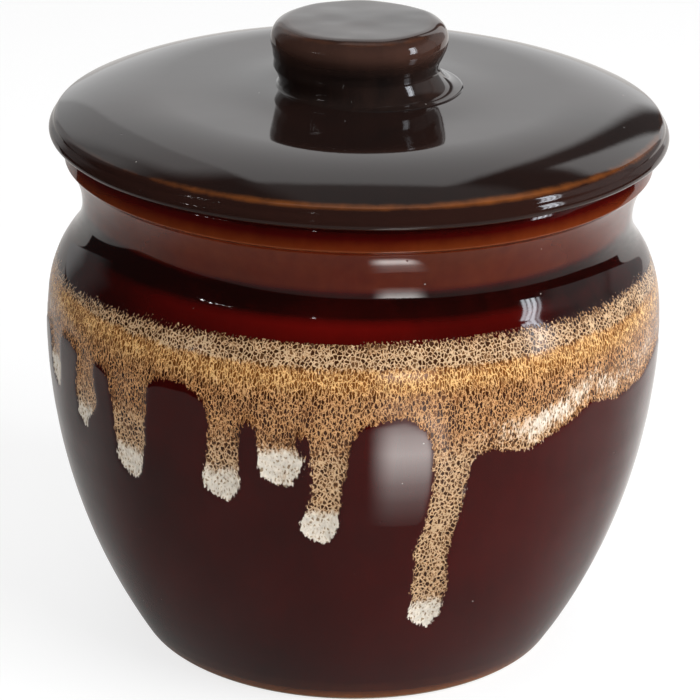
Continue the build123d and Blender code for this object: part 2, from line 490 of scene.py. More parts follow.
class Net:
    """The nodes of one tree, made by calls that take plain values and signals alike."""

    def __init__(self, tree):
        self.tree = tree

    def add(self, kind, inputs=None, **settings):
        """A node with its settings and its inputs."""
        node = self.tree.nodes.new(kind)
        for name, value in settings.items():
            setattr(node, name, value)
        for name, value in (inputs or {}).items():
            socket = node.inputs[name]
            if isinstance(value, Signal):
                self.tree.links.new(value.socket, socket)
            else:
                socket.default_value = (*value, 1.0) if socket.type == "RGBA" else value
        return node

    def make(self, kind, inputs=None, output=0, **settings):
        """The signal from one output of a new node."""
        return Signal(self, self.add(kind, inputs, **settings).outputs[output])

    def maths(self, operation, *values):
        """One Math node."""
        return self.make("ShaderNodeMath", dict(enumerate(values)), operation=operation)

    def parts(self, vector):
        """The three parts of a vector or colour."""
        return [Signal(self, socket) for socket in self.add("ShaderNodeSeparateXYZ", {0: vector}).outputs]

    def ramp(self, value, low, high, to_low=0.0, to_high=1.0, smooth=True):
        """A value mapped from one range to another, held at the ends."""
        inputs = {"Value": value, "From Min": low, "From Max": high, "To Min": to_low, "To Max": to_high}
        kind = "SMOOTHSTEP" if smooth else "LINEAR"
        return self.make("ShaderNodeMapRange", inputs, "Result", interpolation_type=kind)

    def through(self, value, stations, scale=1.0, smooth=True):
        """A value that passes through these stations, given as (where, how much)."""
        result = stations[0][1]
        for (low, before), (high, after) in zip(stations, stations[1:]):
            if after != before:
                result = self.ramp(value, low * scale, high * scale, 0.0, after - before, smooth) + result
        return result

    def mix(self, factor, first, second):
        """Two colours mixed."""
        return self.make("ShaderNodeMix", {0: factor, 6: first, 7: second}, 2, data_type="RGBA")

    def blend(self, factor, first, second):
        """Two numbers mixed."""
        return self.make("ShaderNodeMix", {"Factor": factor, "A": first, "B": second}, "Result")

    def noise(self, vector, size, detail=2.0, roughness=0.5, output="Fac"):
        """Noise whose lumps are about this size, in metres."""
        inputs = {"Vector": vector, "Scale": 1.0 / size, "Detail": detail, "Roughness": roughness}
        return self.make("ShaderNodeTexNoise", inputs, output)

    def cells(self, vector, size, output="Distance", **settings):
        """Cells of about this size, in metres."""
        return self.make("ShaderNodeTexVoronoi", {"Vector": vector, "Scale": 1.0 / size}, output, **settings)

    def mark(self, name):
        """A value stored on the mesh."""
        return self.make("ShaderNodeAttribute", None, "Fac", attribute_name=name, attribute_type="GEOMETRY")

    def group(self, name, build, inputs):
        """One of the shared groups, placed with its own values."""
        tree = bpy.data.node_groups.get(name) or build(name)
        node = self.add("ShaderNodeGroup", inputs, node_tree=tree)
        return {socket.name: Signal(self, socket) for socket in node.outputs}


def new_group(name, kind, inputs, outputs):
    """A node group's net and inputs. An input is named with its default or kind, an output with its kind."""
    tree = bpy.data.node_groups.new(name, kind)
    for socket_name, default in inputs.items():
        named = {float: "Float", int: "Int", str: default}[type(default)]
        socket = tree.interface.new_socket(socket_name, in_out="INPUT", socket_type=f"NodeSocket{named}")
        if named != default:
            socket.default_value = default
    for socket_name, named in outputs.items():
        tree.interface.new_socket(socket_name, in_out="OUTPUT", socket_type=f"NodeSocket{named}")
    net = Net(tree)
    return net, {socket.name: Signal(net, socket) for socket in net.add("NodeGroupInput").outputs}


def emptied(owner):
    """The net of a material, world or lamp, with nothing in it yet."""
    owner.use_nodes = True
    owner.node_tree.nodes.clear()
    return Net(owner.node_tree)


# The wheel: one Geometry Nodes tree that turns a profile into a thrown surface

AXIS_RADIUS = 0.01 * MM
WELD_REACH = 0.005 * MM


def wheel_tree():
    """Sweeps a profile round the Z axis, with faint throwing rings, a slow wander of the wall and a lean."""
    net, given = new_group(
        "Wheel",
        "GeometryNodeTree",
        {
            "Geometry": "Geometry",
            "Columns": 400,
            "Axis radius": AXIS_RADIUS,
            "Ring spacing": 4 * MM,
            "Ring depth": 0.02 * MM,
            "Wander size": 45 * MM,
            "Wander": 0.1 * MM,
            "Lean": 0.5 * MM,
            "Lean from": 80 * MM,
            "Lean to": 112 * MM,
            "Seed": 1.0,
            "Glaze": "Material",
        },
        {"Geometry": "Geometry"},
    )
    profile = net.make("GeometryNodeMeshToCurve", {"Mesh": given["Geometry"]})
    circle_inputs = {"Resolution": given["Columns"], "Radius": given["Axis radius"]}
    circle = net.make("GeometryNodeCurvePrimitiveCircle", circle_inputs)
    swept = net.make("GeometryNodeCurveToMesh", {"Curve": circle, "Profile Curve": profile})
    welded = net.make("GeometryNodeMergeByDistance", {"Geometry": swept, "Distance": WELD_REACH})

    place = net.make("GeometryNodeInputPosition")
    height = net.parts(place)[2]
    turns = height / given["Ring spacing"] + given["Seed"]
    ring_inputs = {"W": turns, "Scale": 1.0, "Detail": 1.0}
    rings = net.make("ShaderNodeTexNoise", ring_inputs, noise_dimensions="1D")
    lump_inputs = {"Vector": place, "W": given["Seed"], "Scale": 1.0 / given["Wander size"], "Detail": 1.0}
    lumps = net.make("ShaderNodeTexNoise", lump_inputs, noise_dimensions="4D")
    held = net.make("GeometryNodeInputNamedAttribute", {"Name": "true"}, data_type="FLOAT")
    free = net.make("ShaderNodeMath", {0: 1.0, 1: held}, operation="SUBTRACT", use_clamp=True)
    amount = ((rings - 0.5) * given["Ring depth"] + (lumps - 0.5) * given["Wander"]) * free
    leaning = net.ramp(height, given["Lean from"], given["Lean to"]) * given["Lean"]
    offset = net.make("GeometryNodeInputNormal") * amount + net.make("ShaderNodeCombineXYZ", {"X": leaning})
    thrown = net.make("GeometryNodeSetPosition", {"Geometry": welded, "Offset": offset})
    smooth = net.make("GeometryNodeSetShadeSmooth", {"Geometry": thrown})
    real = net.make("GeometryNodeRealizeInstances", {"Geometry": smooth})
    glazed = net.make("GeometryNodeSetMaterial", {"Geometry": real, "Material": given["Glaze"]})
    net.add("NodeGroupOutput", {"Geometry": glazed})
    return net.tree


def throw(name, profile, glaze, values):
    """Turns a profile on the wheel and returns the plain mesh as an object of this name."""
    tree = bpy.data.node_groups.get("Wheel") or wheel_tree()
    blank = bpy.data.objects.new(name + "_profile", profile.mesh(name + "_profile", AXIS_RADIUS))
    bpy.context.scene.collection.objects.link(blank)
    modifier = blank.modifiers.new("Wheel", "NODES")
    modifier.node_group = tree
    sockets = {item.name: item.identifier for item in tree.interface.items_tree if item.in_out == "INPUT"}
    for socket_name, value in {**values, "Glaze": glaze}.items():
        modifier[sockets[socket_name]] = value
    depsgraph = bpy.context.evaluated_depsgraph_get()
    mesh = bpy.data.meshes.new_from_object(blank.evaluated_get(depsgraph), depsgraph=depsgraph)
    blank.modifiers.remove(modifier)
    bpy.data.objects.remove(blank)
    mesh.name = name
    piece = bpy.data.objects.new(name, mesh)
    bpy.context.scene.collection.objects.link(piece)
    return piece


def read(mesh, name=None):
    """The points' places, or a value stored on them."""
    source = mesh.attributes[name].data if name else mesh.vertices
    values = np.zeros(len(source) * (1 if name else 3), np.float32)
    source.foreach_get("value" if name else "co", values)
    return values if name else values.reshape(-1, 3).astype(float)


def azimuth_of(points):
    """Degrees round the jar, 0 at the front and growing to the right."""
    return np.degrees(np.arctan2(points[:, 0], -points[:, 1]))


def store(mesh, name, values):
    """Writes one value for each point."""
    layer = mesh.attributes.get(name) or mesh.attributes.new(name, "FLOAT", "POINT")
    layer.data.foreach_set("value", np.asarray(values, np.float32))


def move_to(mesh, points):
    """Puts the mesh's points at these places."""
    mesh.vertices.foreach_set("co", points.astype(np.float32).ravel())
    mesh.update()


# The pale glaze on the jar. Azimuths are in degrees, 0 at the front and growing to the right

# Each run of glaze: its stations from the top down, as (azimuth, height in mm, width in mm)
RUNS = (
    ((-56.0, 78, 6.5), (-56.2, 70, 8.6), (-57.6, 64.5, 4.5)),
    ((-43.5, 80, 13.0), (-43.2, 66, 9.0), (-43.6, 59.5, 8.4)),
    ((-22.4, 80, 9.0), (-22.6, 71, 6.8), (-23.2, 60.8, 9.2)),
    ((-12.6, 78, 10.0), (-13.0, 72.5, 7.8), (-12.4, 66.8, 10.2)),
    ((-3.2, 80, 12.0), (-3.7, 66.6, 6.8), (-4.3, 58.5, 6.2), (-5.3, 52.6, 8.8)),
    ((18.6, 80, 16.0), (18.2, 69, 8.6), (17.3, 57, 7.2), (15.4, 45.5, 7.6), (15.9, 35.5, 8.2),
     (15.7, 28.6, 8.6)),
    ((84.0, 78, 10.0), (84.5, 66, 6.8), (84.0, 58.0, 8.8)),
    ((99.0, 78, 9.0), (99.6, 69, 8.6)),
    ((116.0, 80, 12.0), (116.5, 64, 7.2), (115.8, 50, 6.8), (115.4, 41.5, 9.2)),
    ((133.0, 78, 9.0), (132.4, 63.5, 8.8)),
    ((152.0, 80, 12.0), (151.0, 67, 7.0), (150.6, 55.0, 9.0)),
    ((166.0, 78, 9.0), (166.4, 70.5, 7.6)),
    ((184.0, 80, 14.0), (184.6, 64, 7.6), (185.8, 47, 6.8), (185.2, 34.0, 9.4)),
    ((203.0, 79, 10.0), (203.4, 66.0, 9.2)),
    ((218.0, 80, 11.0), (217.4, 62, 6.6), (217.0, 51.0, 8.6)),
    ((239.0, 78, 10.0), (239.6, 68.5, 8.4)),
    ((256.0, 80, 12.0), (256.6, 63, 7.4), (257.4, 45.5, 9.2)),
    ((275.0, 78, 9.0), (275.4, 66.5, 8.0)),
    ((289.0, 79, 9.0), (289.4, 70.0, 7.8)),
)

# Lower edge of the band between the runs, and its upper edge, as (azimuth, height in mm)
LOWER_EDGE = (
    (-82, 78), (-66, 80), (-50, 79), (-31, 82), (-17.6, 76.5), (-7.3, 75), (9.4, 78.5), (23, 69.5), (33, 67.5),
    (40, 70.5), (47.5, 74), (55, 72), (65, 72.5), (75, 76), (92, 77), (108, 80), (125, 76), (142, 80),
    (160, 77), (175, 81), (194, 76), (210, 79), (228, 77), (247, 80), (266, 77), (278, 78),
)
UPPER_EDGE = (
    (-72, 90), (-55, 91.2), (-40, 92.3), (-21, 93.6), (0, 94), (30, 94), (50, 93.2), (64, 93.2), (82, 91.8),
    (110, 92.6), (140, 93.8), (170, 92.8), (200, 91.6), (230, 93), (262, 91.2),
)

# How white the band has fired above its lower edge, as (azimuth, share)
WHITE_BAND = (
    (-70, 0.25), (-50, 0.0), (20, 0.0), (27, 0.4), (36, 0.72), (44, 0.66), (58, 0.5), (68, 0.3), (76, 0.1),
    (130, 0.0), (150, 0.5), (175, 0.6), (195, 0.0), (240, 0.0), (262, 0.4), (280, 0.2),
)
WHITE_BAND_RISE = 4.4 * MM
WHITE_BAND_SPREAD = 4.0 * MM

# How runs are shaped: the roundness where stations and runs join, and the drawn-out drop at a run's end
STATION_BLEND = 1.5 * MM
RUN_BLEND = 3.4 * MM
WHITE_END = 4.5 * MM
FAR = 20 * MM

# How far the pale glaze moves the wall, and how much further where it has gathered, each from depth to depth
COAT, COAT_FROM, COAT_TO = 0.45 * MM, -0.5 * MM, 1.6 * MM
BEAD, BEAD_FROM, BEAD_TO = 0.25 * MM, 0.4 * MM, 3.0 * MM
CREST_HEIGHT = 9 * MM
CREST_THINNING_SHARE = 0.85


def round_the_jar(stations, azimuth):
    """What these stations, which go once round, give at these azimuths. There can be more than one column."""
    angles, *columns_given = zip(*stations)
    found = [np.interp(azimuth, angles, column, period=360.0) for column in columns_given]
    return found if len(found) > 1 else found[0]


def smooth_least(a, b, reach):
    """The lesser of two distances, with the corner between them rounded over this reach."""
    share = np.clip(0.5 + 0.5 * (b - a) / reach, 0.0, 1.0)
    return b + (a - b) * share - reach * share * (1 - share)


def run_distance(stations, azimuth, height, radius):
    """Distance to one run of glaze, below 0 inside, and how far up its white end reaches, 1 at the tip."""
    turn, end, width = stations[-1]
    drop = ((turn, end, 0.9 * width), (turn + 0.12 * width, end - 0.40 * width, 0.18 * width))
    stations = (*stations[:-1], *drop)
    reach = radius * math.pi / 180

    def across_from(angle):
        return (np.mod(azimuth - angle + 180.0, 360.0) - 180.0) * reach

    best = np.full(len(azimuth), 1.0)
    for (a_turn, a_height, a_width), (b_turn, b_height, b_width) in zip(stations, stations[1:]):
        across, up = across_from(a_turn), height - a_height * MM
        step = np.array([(b_turn - a_turn) * reach, (b_height - a_height) * MM])
        share = np.clip((across * step[0] + up * step[1]) / (step @ step), 0.0, 1.0)
        half = (a_width + (b_width - a_width) * share) / 2 * MM
        away = np.hypot(across - share * step[0], up - share * step[1]) - half
        best = smooth_least(best, away, STATION_BLEND)
    tip = 1.0 - np.clip((height - (end + 0.12 * width) * MM) / WHITE_END, 0.0, 1.0)
    return best, tip * (np.abs(across_from(turn)) < 0.9 * width * MM)


def below_neck(size, radius, height):
    """Which points the pale glaze can reach: those below the neck and further out than a line by the wall.

    From 30 to 79 mm up the line lies further in than the wall, so the jar's inner face is reached there too.
    """
    neck_height = size.height - size.neck_below_top
    wall_share = np.clip(height / (neck_height - size.belly_below_neck), 0.0, 1.0)
    line = size.foot_radius + (size.belly_radius - size.foot_radius) * wall_share**0.5 - size.wall
    furthest = size.belly_radius - 0.9 * size.wall
    narrowest = size.belly_radius - size.neck_inset - 0.5 * size.wall * (height > 70 * MM)
    narrowest = narrowest - 16 * MM * (height < 60 * MM)
    return (radius > np.minimum(line, furthest)) & (height < neck_height) & (radius > narrowest)


def pour_glaze(mesh, size):
    """Stores how deep each point lies inside the pale glaze, and moves the wall there along its normals.

    The jar's normals point into the clay, so the glaze lies sunk by its thickness and doesn't stand proud.
    """
    points = read(mesh)
    azimuth, height = azimuth_of(points), points[:, 2]
    reached = below_neck(size, np.hypot(points[:, 0], points[:, 1]), height)

    lower, upper = (round_the_jar(edge, azimuth) * MM for edge in (LOWER_EDGE, UPPER_EDGE))
    whole, white = np.maximum(lower - height, height - upper), np.zeros(len(points))
    for stations in RUNS:
        run, tip = run_distance(stations, azimuth, height, size.belly_radius)
        whole = smooth_least(whole, run, RUN_BLEND)
        white = np.maximum(white, tip * (run < 1.0 * MM))
    whole = np.maximum(whole, height - upper)
    band = hump(height - lower, WHITE_BAND_RISE, WHITE_BAND_SPREAD)
    white = np.maximum(white, round_the_jar(WHITE_BAND, azimuth) * band)
    depth = np.clip(np.where(reached, -whole, -FAR), -FAR, FAR)
    crest = (1.0 - climb(height, upper, upper - CREST_HEIGHT)) * reached
    store(mesh, "depth", depth)
    store(mesh, "white", white * reached)
    store(mesh, "crest", crest)

    above, under = round_the_jar(RED_ROUND, azimuth)
    high = climb(height, RED_ROUND_FROM, RED_ROUND_FULL)
    share = np.where(height < NECK_STARTS, high * above + (1 - high) * under, 1.0)
    store(mesh, "red", read(mesh, "red") * share)

    def rise(low, high):
        share = climb(depth, low, high)
        return share * share * (3 - 2 * share)

    coat = COAT * rise(COAT_FROM, COAT_TO) * (1.0 - CREST_THINNING_SHARE * crest)
    bead = BEAD * rise(BEAD_FROM, BEAD_TO) * white * reached
    normals = np.zeros(len(points) * 3, np.float32)
    mesh.vertices.foreach_get("normal", normals)
    move_to(mesh, points + normals.reshape(-1, 3) * (coat + bead)[:, None])


# How strongly the lid's edge has broken brown at each azimuth, as (azimuth, share)
LID_EDGE = (
    (-170, 0.3), (-110, 0.2), (-70, 0.15), (-50, 0.30), (-36, 0.55), (-24, 0.8), (-15, 0.75), (10, 0.9), (30, 1.0),
    (50, 1.0), (64, 0.7), (80, 0.35), (130, 0.3),
)


def break_edge(mesh):
    """Lets the lid's edge break brown more strongly on the right side than on the left."""
    store(mesh, "thin", read(mesh, "thin") * round_the_jar(LID_EDGE, azimuth_of(read(mesh))))


# How far each level of the hand-set knob stands off the axis, as (share of height, mm), and its tilts
KNOB_DRIFT = ((0.0, 2.1), (0.09, 1.0), (0.32, -1.06), (0.6, -0.35), (1.0, -0.35))
CAP_TILT_SHARE = 0.012
CAP_RISE = 0.5 * MM
FOOT_TILT = 0.25 * MM


def set_by_hand(mesh):
    """Leans the knob as a hand-set one leans, a little to one side at its foot and waist."""
    points = read(mesh)
    share = (points[:, 2] - knob_low.z) / (knob_high.z - knob_low.z)
    points[:, 0] += np.interp(share, *zip(*KNOB_DRIFT)) * MM
    points[:, 2] += CAP_TILT_SHARE * points[:, 0] * np.clip(share - 0.5, 0.0, 1.0)
    foot = climb(share, 0.0, 0.03) * (1.0 - climb(share, 0.0, 0.15))
    points[:, 2] += FOOT_TILT * foot * points[:, 0] / knob_high.x
    points[:, 2] += CAP_RISE * np.clip(share, 0.0, 1.0)
    move_to(mesh, points)


# Shader groups


def skin_group(name):
    """The fired skin that all the glazes share: slow ripples, fine peel, pinholes and settled specks."""
    net, given = new_group(
        name,
        "ShaderNodeTree",
        {"Vector": "Vector", "Ripple": 1.0, "Roughness": 0.05, "Specks": 0.3},
        {"Height": "Float", "Roughness": "Float", "Dust": "Float"},
    )
    vector = given["Vector"]

    def dots(shift, spacing, smallest, share):
        """Round dots in this share of the cells."""
        place = vector + shift
        choice, spread, _ = net.parts(net.cells(place, spacing, "Color"))
        away = net.cells(place, spacing) / (spread * 0.035 + smallest)
        return net.ramp(away, 0.6, 1.2, 1.0, 0.0) * net.maths("LESS_THAN", choice, share)

    pinholes = dots((0.0, 0.0, 0.0), 5.2 * MM, 0.02, given["Specks"])
    ripple = net.noise(vector, 9 * MM, 1.0) * given["Ripple"]
    peel = net.noise(vector, 1.6 * MM, 1.0) * 0.06
    patchy = (net.noise(vector, 14 * MM, 3.0) - 0.5) * 0.05
    rough = net.make("ShaderNodeClamp", {"Value": pinholes * 0.3 + patchy + given["Roughness"]})
    dust = dots((0.1, 0.2, 0.3), 4.1 * MM, 0.015, given["Specks"] * 0.5)
    height = peel + ripple - pinholes * 0.5
    net.add("NodeGroupOutput", {"Height": height, "Roughness": rough, "Dust": dust})
    return net.tree


def break_group(name):
    """Colour of the dark glaze from its thickness, with clouds, and streaks where it ran."""
    numbers = {"Thin": 0.0, "Red": 0.5, "Cloud": 0.5, "Patchy": 0.5}
    colours = dict.fromkeys(("Deep", "Body", "Broken"), "Color")
    net, given = new_group(name, "ShaderNodeTree", {"Vector": "Vector", **numbers, **colours}, {"Color": "Color"})
    vector, thin = given["Vector"], given["Thin"]
    clouds = net.noise(vector, 24 * MM, 3.0)
    streaks = net.noise(vector * (1.0, 1.0, 0.15), 2.2 * MM, 3.0)
    level = (clouds * 0.75 + streaks * 0.25 - 0.5) * given["Cloud"] + given["Red"]
    body = net.mix(net.ramp(level, 0.0, 1.0, smooth=False), given["Deep"], given["Body"])
    ragged = net.noise(vector, 3.0 * MM, 3.0) + net.noise(vector, 15 * MM, 1.0) - 1.0
    wobble = ragged * 0.9 * net.ramp(thin, 0.0, 0.25) * given["Patchy"]
    fine = (streaks - 0.5) * 0.16
    broken = net.ramp(thin + wobble + fine * thin, 0.08, 1.0, smooth=False)
    net.add("NodeGroupOutput", {"Color": net.mix(broken, body, given["Broken"])})
    return net.tree


def clay_group(name):
    """Bare fired stoneware: buff, with iron specks and a fine tooth."""
    inputs, outputs = {"Vector": "Vector", "Clay": "Color"}, {"Color": "Color", "Height": "Float"}
    net, given = new_group(name, "ShaderNodeTree", inputs, outputs)
    vector = given["Vector"]
    tooth = net.noise(vector, 0.5 * MM, 4.0, 0.7)
    shade = tooth * 0.5 + net.noise(vector, 11 * MM, 3.0) * 0.6
    buff = net.mix(net.ramp(shade, 0.3, 0.8), (0.30, 0.19, 0.11), given["Clay"])
    speck = net.ramp(net.cells(vector, 1.7 * MM), 0.10, 0.16, 1.0, 0.0) * 0.7
    net.add("NodeGroupOutput", {"Color": net.mix(speck, buff, (0.07, 0.035, 0.02)), "Height": tooth})
    return net.tree


# Pores of the froth: how much the pattern is drawn out, its changes as (height, change), and the cells' sizes
DRAWN_OUT = 0.72
DRAWN_CHANGES = ((71 * MM, -0.26), (82 * MM, -0.14), (89 * MM, 0.53))
SMALL_PORE = 0.60 * MM
LARGE_PORE = 0.80 * MM

# Levels where the froth changes: pale above the shoulder, golden where it breaks, and pale again below
PALE_FROM, PALE_FULL = 87.6 * MM, 89.4 * MM
GOLD_FROM, GOLD_FULL = 82 * MM, 86.4 * MM
FALL_FROM, FALL_FULL = 76 * MM, 67 * MM
FINE_FROM, FINE_FULL = 91 * MM, 94.5 * MM

# The froth's other colours: its slopes and pores as shares of the pale colour, and the golden pores
SLOPE_SHARES, WHITE_SLOPE_SHARES = (0.52, 0.37, 0.25), (0.80, 0.72, 0.62)
PORE_SHARES, WHITE_PORE_SHARES = (0.060, 0.028, 0.016), (0.42, 0.33, 0.24)
GOLD_PORE = (0.26, 0.085, 0.016)


def froth_group(name):
    """The pale glaze: a net of froth over dark pores, drawn out downwards, golden over the shoulder."""
    numbers = dict.fromkeys(("Depth", "White", "Crest"), 0.0)
    colours = dict.fromkeys(("Cream", "Gold", "Tan", "Pale"), "Color")
    outputs = {"Color": "Color", "Cover": "Float", "Height": "Float"}
    net, given = new_group(name, "ShaderNodeTree", {"Vector": "Vector", **numbers, **colours}, outputs)
    vector = given["Vector"]
    x, y, height = net.parts(vector)
    drawn = height * DRAWN_OUT
    for level, change in DRAWN_CHANGES:
        drawn = net.maths("MAXIMUM", height - level, 0.0) * change + drawn
    squeezed = net.make("ShaderNodeCombineXYZ", {"X": x, "Y": y, "Z": drawn})
    stir = net.noise(vector, 0.7 * MM, output="Color") - (0.5, 0.5, 0.5)
    place = squeezed + stir * (0.75 * MM)

    hair = net.noise(vector * (1.0, 1.0, 0.35), 0.5 * MM, 1.0) - 0.5
    slow = (net.noise(vector, 5 * MM) - 0.5) * (2.4 * MM)
    edge = hair * (given["Crest"] * (3.0 * MM) + 2.0 * MM) + given["Depth"] + slow * 0.5
    cover = net.ramp(edge, -0.2 * MM, 0.2 * MM)

    level = height + slow * 0.7 + hair * (2.2 * MM)
    upper = net.ramp(level, PALE_FROM, PALE_FULL)
    glow = net.ramp(level, GOLD_FROM, GOLD_FULL) * (1.0 - upper)
    below = net.ramp(level, FALL_FROM, FALL_FULL, 0.0, 0.85)
    coarse = net.maths("MAXIMUM", upper, below)

    walls, numbers = [], []
    for size in (SMALL_PORE, LARGE_PORE):
        walls.append(net.cells(place, size, feature="DISTANCE_TO_EDGE"))
        numbers.append(net.parts(net.cells(place, size, "Color"))[0])
    wall, chance = net.blend(coarse, *walls), net.blend(coarse, *numbers)
    cloudy = net.noise(vector, 4.5 * MM) - 0.5
    whiteness = net.ramp(cloudy * 0.9 + given["White"] + hair * 1.1, 0.25, 1.0)
    line = cloudy * 0.14 + 0.095 + coarse * 0.02 + below * 0.025 + whiteness * 0.12
    line = line - net.ramp(level, FINE_FROM, FINE_FULL) * 0.045 - net.ramp(edge, 1.4 * MM, 0.0) * 0.03
    ridge = net.ramp(wall, line - 0.075, line, 1.0, 0.0)
    darkness = net.ramp(chance, 0.0, 0.45, 0.6, 1.0, smooth=False)
    hollow = net.ramp(wall, line, line + 0.08) * darkness

    pale = net.mix(upper, given["Tan"], given["Cream"])
    pale = net.mix(glow, pale, given["Gold"])
    pale = net.mix(below, pale, given["Cream"])
    slope = net.mix(whiteness, pale * SLOPE_SHARES, given["Pale"] * WHITE_SLOPE_SHARES)
    pore = net.mix(glow * 0.6, pale * PORE_SHARES, GOLD_PORE)
    pore = net.mix(whiteness, pore, given["Pale"] * WHITE_PORE_SHARES)
    pale = net.mix(whiteness, pale, given["Pale"])
    tint = net.mix(hollow, net.mix(ridge, slope, pale), pore)
    shade = net.ramp(net.noise(vector, 1.3 * MM), 0.3, 0.7, 0.84, 1.12, smooth=False) + hair * 0.35
    net.add("NodeGroupOutput", {"Color": tint * shade, "Cover": cover, "Height": 1.0 - hollow})
    return net.tree


DUST = (0.55, 0.52, 0.48)
BUMP_DISTANCE = 0.05 * MM
CLAY_ROUGHNESS = 0.82


def glaze(name, colours, skin_values, break_values, poured=False):
    """Dark glaze that breaks where it is thin, with bare clay below it and, if poured, the pale glaze over it."""
    material = bpy.data.materials.new(name)
    net = emptied(material)
    vector = net.make("ShaderNodeTexCoord", None, "Object")
    skin = net.group("Fired skin", skin_group, {"Vector": vector, **skin_values})
    marks = {"Vector": vector, "Thin": net.mark("thin"), "Red": net.mark("red"), "Broken": colours.amber}
    base = net.group("Glaze break", break_group, {**marks, **break_values})["Color"]
    height, rough = skin["Height"], skin["Roughness"]
    if poured:
        marks = {name.title(): net.mark(name) for name in ("depth", "white", "crest")}
        tints = {"Cream": colours.cream, "Gold": colours.gold, "Tan": colours.tan, "Pale": colours.white}
        froth = net.group("Frothed glaze", froth_group, {"Vector": vector, **marks, **tints})
        cover = froth["Cover"]
        base = net.mix(cover, base, froth["Color"])
        height = height + froth["Height"] * cover * 0.9 + cover
        rough = rough + cover * 0.13

    bare = net.ramp(net.noise(vector, 1.2 * MM, 3.0) * 0.5 + net.mark("bare"), 0.65, 0.85)
    clay = net.group("Bare clay", clay_group, {"Vector": vector, "Clay": colours.clay})
    base = net.mix(skin["Dust"] * 0.6, net.mix(bare, base, clay["Color"]), DUST)
    height = clay["Height"] * bare * 1.5 + height
    normal = net.make("ShaderNodeBump", {"Strength": 1.0, "Distance": BUMP_DISTANCE, "Height": height})
    rough = net.blend(bare, rough, CLAY_ROUGHNESS)
    inputs = {"Base Color": base, "Roughness": rough, "IOR": 1.52, "Normal": normal}
    net.add("ShaderNodeOutputMaterial", {"Surface": net.make("ShaderNodeBsdfPrincipled", inputs)})
    return material


# Operators, one for each piece and one for the stage


def finish_piece(piece, body, node):
    """Sets the piece on its body and hides the part that it stands for."""
    if len(piece.data.polygons) == 0:
        raise RuntimeError(f"{piece.name} came out empty")
    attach(piece, body)
    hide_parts(node)


class JAR_OT_throw_jar(bpy.types.Operator):
    """Throws the jar and runs the pale glaze down it"""

    bl_idname = "jar.throw_jar"
    bl_label = "Throw the jar"

    def execute(self, context):
        size, colours = context.scene.jar_sizes, context.scene.glaze_colours
        values = {
            "Columns": size.columns, "Ring spacing": 5 * MM, "Ring depth": 0.05 * MM,
            "Wander size": 60 * MM, "Wander": 0.35 * MM, "Seed": 3.0,
        }
        skin = {"Ripple": 0.35, "Roughness": 0.05}
        breaks = {"Cloud": 0.7, "Patchy": 0.12, "Deep": colours.deep, "Body": colours.red}
        piece = throw("thrown_jar", jar_profile(size), glaze("jar_glaze", colours, skin, breaks, True), values)
        pour_glaze(piece.data, size)
        finish_piece(piece, "jar", "jar_body")
        return {"FINISHED"}


class JAR_OT_throw_lid(bpy.types.Operator):
    """Throws the domed lid with its ring"""

    bl_idname = "jar.throw_lid"
    bl_label = "Throw the lid"

    def execute(self, context):
        size, colours = context.scene.lid_sizes, context.scene.glaze_colours
        values = {
            "Columns": size.columns, "Ring spacing": 3 * MM, "Ring depth": 0.02 * MM,
            "Wander size": 34 * MM, "Wander": 0.30 * MM, "Seed": 7.0,
        }
        skin = {"Ripple": 0.30, "Roughness": 0.06, "Specks": 0.3}
        breaks = {"Cloud": 0.30, "Patchy": 0.55, "Deep": colours.black, "Body": colours.brown}
        piece = throw("thrown_lid", lid_profile(size), glaze("lid_glaze", colours, skin, breaks), values)
        break_edge(piece.data)
        finish_piece(piece, "lid", "lid")
        return {"FINISHED"}


class JAR_OT_turn_knob(bpy.types.Operator):
    """Turns the knob and sets it on the crown"""

    bl_idname = "jar.turn_knob"
    bl_label = "Turn the knob"

    def execute(self, context):
        size, colours = context.scene.knob_sizes, context.scene.glaze_colours
        values = {
            "Columns": size.columns, "Ring spacing": 2 * MM, "Ring depth": 0.14 * MM,
            "Wander size": 13 * MM, "Wander": 0.75 * MM, "Seed": 11.0,
        }
        skin = {"Ripple": 0.8, "Roughness": 0.06, "Specks": 0.5}
        breaks = {"Cloud": 1.2, "Patchy": 0.5, "Deep": colours.black, "Body": colours.umber}
        piece = throw("turned_knob", knob_profile(size), glaze("knob_glaze", colours, skin, breaks), values)
        set_by_hand(piece.data)
        finish_piece(piece, "lid", "lid_knob")
        return {"FINISHED"}


def direction(azimuth, elevation):
    """Unit vector from the jar, with azimuth 0 towards the camera and growing to its right."""
    turn, lift = math.radians(azimuth), math.radians(elevation)
    return Vector((math.sin(turn) * math.cos(lift), -math.cos(turn) * math.cos(lift), math.sin(lift)))


WHITE = (1.0, 1.0, 1.0)
LAMP_AIM = Vector((0.0, 0.0, 80 * MM))


def softbox(
    name, azimuth, elevation, distance, width, height, radiance, tint=WHITE, mirrored=True, tilt=0.0
):
    """An area lamp that faces the jar. A mirrored one shows in the glaze."""
    lamp = bpy.data.lights.new(name, "AREA")
    lamp.shape = "RECTANGLE"
    lamp.size, lamp.size_y = width, height
    lamp.energy = radiance * width * height * math.pi
    lamp.color = tint
    holder = bpy.data.objects.new(name, lamp)
    away = direction(azimuth, elevation)
    holder.location = away * distance + LAMP_AIM
    turned = away.to_track_quat("Z", "Y") @ Quaternion((0.0, 0.0, 1.0), math.radians(tilt))
    holder.rotation_euler = turned.to_euler()
    holder.visible_camera = False
    holder.visible_glossy = mirrored
    bpy.context.scene.collection.objects.link(holder)
    return holder


